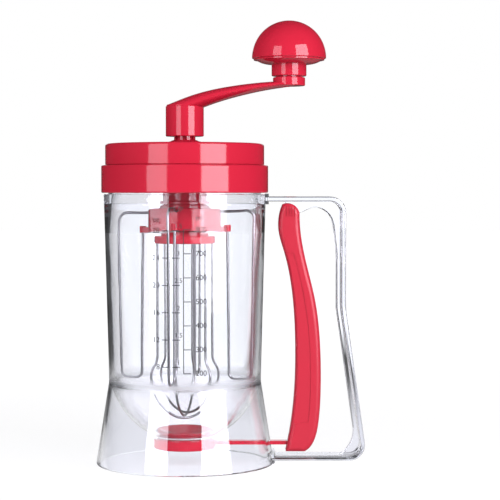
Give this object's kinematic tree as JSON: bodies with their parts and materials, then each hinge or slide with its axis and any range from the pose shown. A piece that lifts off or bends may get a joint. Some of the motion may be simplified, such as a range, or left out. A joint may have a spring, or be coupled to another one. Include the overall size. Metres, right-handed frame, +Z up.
{
  "type": "batter dispenser",
  "caption": "Clear jug with a hand-cranked whisk and a geared stirring frame under its lid, a hollow handle, and a trigger that opens a slide valve below the bowl.",
  "frame": {"origin": "on the jug's axis, on the plane that its skirt stands on", "axes": "+Z up along the jug's axis, +X towards the handle, -Y towards the front with the printed scale"},
  "size_m": [0.1692, 0.1118, 0.2785],
  "materials": {
    "clear_plastic": "clear, polished",
    "red_plastic": "glossy moulded",
    "steel_wire": "bright drawn wire",
    "steel_fixings": "plain zinc and stainless",
    "silicone": "soft, matt",
    "nylon": "matt moulded"
  },
  "bodies": {
    "jug": {"jug_body": "clear_plastic", "handle": "clear_plastic", "valve_plug": "red_plastic", "valve_o_ring": "silicone", "valve_seal": "silicone", "valve_cap": "red_plastic", "valve_screws": "steel_fixings", "trigger_pin": "steel_fixings"},
    "trigger": {"trigger": "red_plastic", "trigger_spring": "steel_fixings"},
    "gate": {"gate": "red_plastic"},
    "lid": {"lid_cap": "red_plastic", "gearbox_floor": "red_plastic", "gearbox_screws": "steel_fixings", "lid_gasket": "silicone", "planet_pins": "steel_fixings", "sun_washer": "nylon"},
    "collar": {"lid_collar": "red_plastic"},
    "crank": {"crank": "red_plastic", "spindle": "red_plastic", "sun_gear": "nylon", "whisk_hub": "red_plastic", "whisk_screw": "steel_fixings", "whisk_loop_1": "steel_wire", "whisk_loop_2": "steel_wire", "whisk_loop_3": "steel_wire"},
    "knob": {"knob_stem": "red_plastic", "knob_dome": "red_plastic", "knob_washer": "red_plastic", "knob_screw": "steel_fixings"},
    "frame": {"ring_gear": "red_plastic", "frame_hub": "red_plastic", "hub_screws": "steel_fixings", "frame_loop_1": "steel_wire", "frame_loop_2": "steel_wire", "frame_loop_3": "steel_wire", "frame_loop_4": "steel_wire"},
    "planet_1": {"planet_gear_1": "nylon"},
    "planet_2": {"planet_gear_2": "nylon"},
    "planet_3": {"planet_gear_3": "nylon"}
  },
  "joints": [
    {"name": "lid_lift", "type": "slide", "parent": "jug", "child": "lid", "axis": [0, 0, 1], "range_m": [0, 0.165]},
    {"name": "collar_twist", "type": "hinge", "parent": "lid", "child": "collar", "pos_m": [0, 0, 0.179], "axis": [0, 0, 1], "range_deg": [0, 45]},
    {"name": "crank_turn", "type": "hinge", "parent": "lid", "child": "crank", "pos_m": [0, 0, 0.2], "axis": [0, 0, 1], "continuous": true},
    {"name": "knob_spin", "type": "hinge", "parent": "crank", "child": "knob", "pos_m": [0.0655, 0, 0.25], "axis": [0, 0, 1], "continuous": true},
    {"name": "frame_turn", "type": "hinge", "parent": "lid", "child": "frame", "pos_m": [0, 0, 0.1912], "axis": [0, 0, 1], "continuous": true},
    {"name": "planet_1_spin", "type": "hinge", "parent": "lid", "child": "planet_1", "pos_m": [0.0225, 0, 0.1912], "axis": [0, 0, 1], "continuous": true},
    {"name": "planet_2_spin", "type": "hinge", "parent": "lid", "child": "planet_2", "pos_m": [-0.01125, 0.01949, 0.1912], "axis": [0, 0, 1], "continuous": true},
    {"name": "planet_3_spin", "type": "hinge", "parent": "lid", "child": "planet_3", "pos_m": [-0.01125, -0.01949, 0.1912], "axis": [0, 0, 1], "continuous": true},
    {"name": "trigger_squeeze", "type": "hinge", "parent": "jug", "child": "trigger", "pos_m": [0.0662, 0, 0.158], "axis": [0, -1, 0], "range_deg": [0, 6.87], "stiffness_Nm_per_rad": 1.5, "springref_deg": -5.73},
    {"name": "gate_slide", "type": "slide", "parent": "jug", "child": "gate", "axis": [1, 0, 0], "range_m": [0, 0.01741]}
  ],
  "couplings": [
    {"joint": "frame_turn", "follows": "crank_turn", "ratio": -0.36364},
    {"joint": "planet_1_spin", "follows": "crank_turn", "ratio": -1.1429},
    {"joint": "planet_2_spin", "follows": "crank_turn", "ratio": -1.1429},
    {"joint": "planet_3_spin", "follows": "crank_turn", "ratio": -1.1429},
    {"joint": "gate_slide", "follows": "trigger_squeeze", "m_per_rad": 0.1451}
  ]
}
